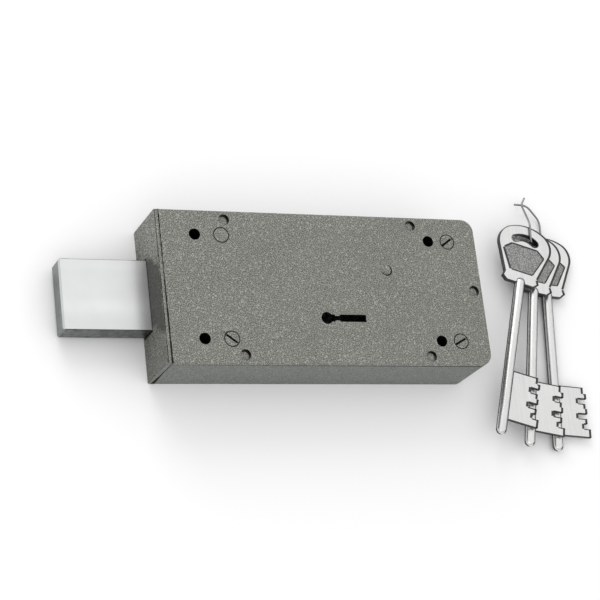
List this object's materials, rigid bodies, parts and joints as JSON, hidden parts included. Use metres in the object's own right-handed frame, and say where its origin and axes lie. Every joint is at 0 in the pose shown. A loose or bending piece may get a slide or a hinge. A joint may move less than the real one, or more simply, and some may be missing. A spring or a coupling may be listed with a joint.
{
  "type": "shutter lock",
  "caption": "Rim lock for a roller shutter: flat steel case, square double-throw bolt, stacked levers behind a keyhole, and long lever keys on a loop of wire.",
  "frame": {"origin": "centre of the four fixing holes, on the back face of the case", "axes": "+Z out of the cover, -X the way the bolt is thrown, +Y up when the lock is fixed to a shutter"},
  "size_m": [0.3354, 0.1638, 0.0381],
  "materials": {
    "grey_hammer_paint": "warm grey hammertone enamel with fine pale specks",
    "bolt_zinc": "bright zinc plate, finely ground along its length",
    "inner_steel": "plain bright steel",
    "lever_brass": "pressed brass sheet",
    "spring_steel": "tempered strip",
    "key_nickel": "nickel plate over a cast and machined key",
    "wire_steel": "drawn steel wire"
  },
  "bodies": {
    "root": {"case_body": "grey_hammer_paint", "forend_plate": "grey_hammer_paint", "cover_plate": "grey_hammer_paint", "cover_screw_1": "grey_hammer_paint", "screw_pillar_1": "inner_steel", "cover_screw_2": "grey_hammer_paint", "screw_pillar_2": "inner_steel", "cover_screw_3": "grey_hammer_paint", "screw_pillar_3": "inner_steel", "cover_screw_4": "grey_hammer_paint", "screw_pillar_4": "inner_steel", "mounting_sleeve_1": "inner_steel", "mounting_sleeve_2": "inner_steel", "mounting_sleeve_3": "inner_steel", "mounting_sleeve_4": "inner_steel", "cover_peg_1": "grey_hammer_paint", "cover_peg_2": "grey_hammer_paint", "cover_peg_3": "grey_hammer_paint", "cover_peg_4": "grey_hammer_paint", "cover_peg_5": "grey_hammer_paint", "lever_post": "inner_steel", "lever_rest_pin": "inner_steel", "spring_post": "inner_steel", "lever_washers": "inner_steel", "bolt_guide_upper": "inner_steel", "bolt_guide_lower": "inner_steel", "bolt_bridge": "inner_steel"},
    "bolt": {"bolt_head": "bolt_zinc", "bolt_tail": "inner_steel", "bolt_stump": "inner_steel", "bolt_rivet_1": "inner_steel", "bolt_rivet_2": "inner_steel"},
    "lever_1": {"lever_1": "lever_brass", "lever_spring_1": "spring_steel"},
    "lever_2": {"lever_2": "lever_brass", "lever_spring_2": "spring_steel"},
    "lever_3": {"lever_3": "lever_brass", "lever_spring_3": "spring_steel"},
    "lever_4": {"lever_4": "lever_brass", "lever_spring_4": "spring_steel"},
    "lever_5": {"lever_5": "lever_brass", "lever_spring_5": "spring_steel"},
    "lever_6": {"lever_6": "lever_brass", "lever_spring_6": "spring_steel"},
    "lever_7": {"lever_7": "lever_brass", "lever_spring_7": "spring_steel"},
    "lever_8": {"lever_8": "lever_brass", "lever_spring_8": "spring_steel"},
    "key_ring": {"key_wire": "wire_steel"},
    "key_1": {"key_1": "key_nickel"},
    "key_2": {"key_2": "key_nickel"},
    "key_3": {"key_3": "key_nickel"}
  },
  "joints": [
    {"name": "bolt_throw", "type": "slide", "parent": "root", "child": "bolt", "axis": [1, 0, 0], "range_m": [0, 0.05]},
    {"name": "lever_lift_1", "type": "hinge", "parent": "root", "child": "lever_1", "pos_m": [0.0434, 0.01225, 0.0025], "axis": [0, 0, -1], "range_deg": [-7, 1.5], "stiffness_Nm_per_rad": 0.1, "springref_deg": -22.92, "deforming": ["lever_spring_1"]},
    {"name": "lever_lift_2", "type": "hinge", "parent": "root", "child": "lever_2", "pos_m": [0.0434, 0.01225, 0.0025], "axis": [0, 0, -1], "range_deg": [-7, 1.5], "stiffness_Nm_per_rad": 0.1, "springref_deg": -22.92, "deforming": ["lever_spring_2"]},
    {"name": "lever_lift_3", "type": "hinge", "parent": "root", "child": "lever_3", "pos_m": [0.0434, 0.01225, 0.0025], "axis": [0, 0, -1], "range_deg": [-7, 1.5], "stiffness_Nm_per_rad": 0.1, "springref_deg": -22.92, "deforming": ["lever_spring_3"]},
    {"name": "lever_lift_4", "type": "hinge", "parent": "root", "child": "lever_4", "pos_m": [0.0434, 0.01225, 0.0025], "axis": [0, 0, -1], "range_deg": [-7, 1.5], "stiffness_Nm_per_rad": 0.1, "springref_deg": -22.92, "deforming": ["lever_spring_4"]},
    {"name": "lever_lift_5", "type": "hinge", "parent": "root", "child": "lever_5", "pos_m": [0.0434, 0.01225, 0.0025], "axis": [0, 0, -1], "range_deg": [-7, 1.5], "stiffness_Nm_per_rad": 0.1, "springref_deg": -22.92, "deforming": ["lever_spring_5"]},
    {"name": "lever_lift_6", "type": "hinge", "parent": "root", "child": "lever_6", "pos_m": [0.0434, 0.01225, 0.0025], "axis": [0, 0, -1], "range_deg": [-7, 1.5], "stiffness_Nm_per_rad": 0.1, "springref_deg": -22.92, "deforming": ["lever_spring_6"]},
    {"name": "lever_lift_7", "type": "hinge", "parent": "root", "child": "lever_7", "pos_m": [0.0434, 0.01225, 0.0025], "axis": [0, 0, -1], "range_deg": [-7, 1.5], "stiffness_Nm_per_rad": 0.1, "springref_deg": -22.92, "deforming": ["lever_spring_7"]},
    {"name": "lever_lift_8", "type": "hinge", "parent": "root", "child": "lever_8", "pos_m": [0.0434, 0.01225, 0.0025], "axis": [0, 0, -1], "range_deg": [-7, 1.5], "stiffness_Nm_per_rad": 0.1, "springref_deg": -22.92, "deforming": ["lever_spring_8"]},
    {"name": "key_set_lift", "type": "slide", "parent": "root", "child": "key_ring", "axis": [0, 0, 1], "range_m": [0, 0.15]},
    {"name": "key_swing_1", "type": "hinge", "parent": "key_ring", "child": "key_1", "pos_m": [0.15757, 0.04176, 0.00325], "axis": [0, 0, 1], "range_deg": [-10, 7]},
    {"name": "key_swing_2", "type": "hinge", "parent": "key_ring", "child": "key_2", "pos_m": [0.1615, 0.041, 0.00325], "axis": [0, 0, 1], "range_deg": [-7, 7]},
    {"name": "key_swing_3", "type": "hinge", "parent": "key_ring", "child": "key_3", "pos_m": [0.16543, 0.04024, 0.00325], "axis": [0, 0, 1], "range_deg": [-7, 15]}
  ]
}
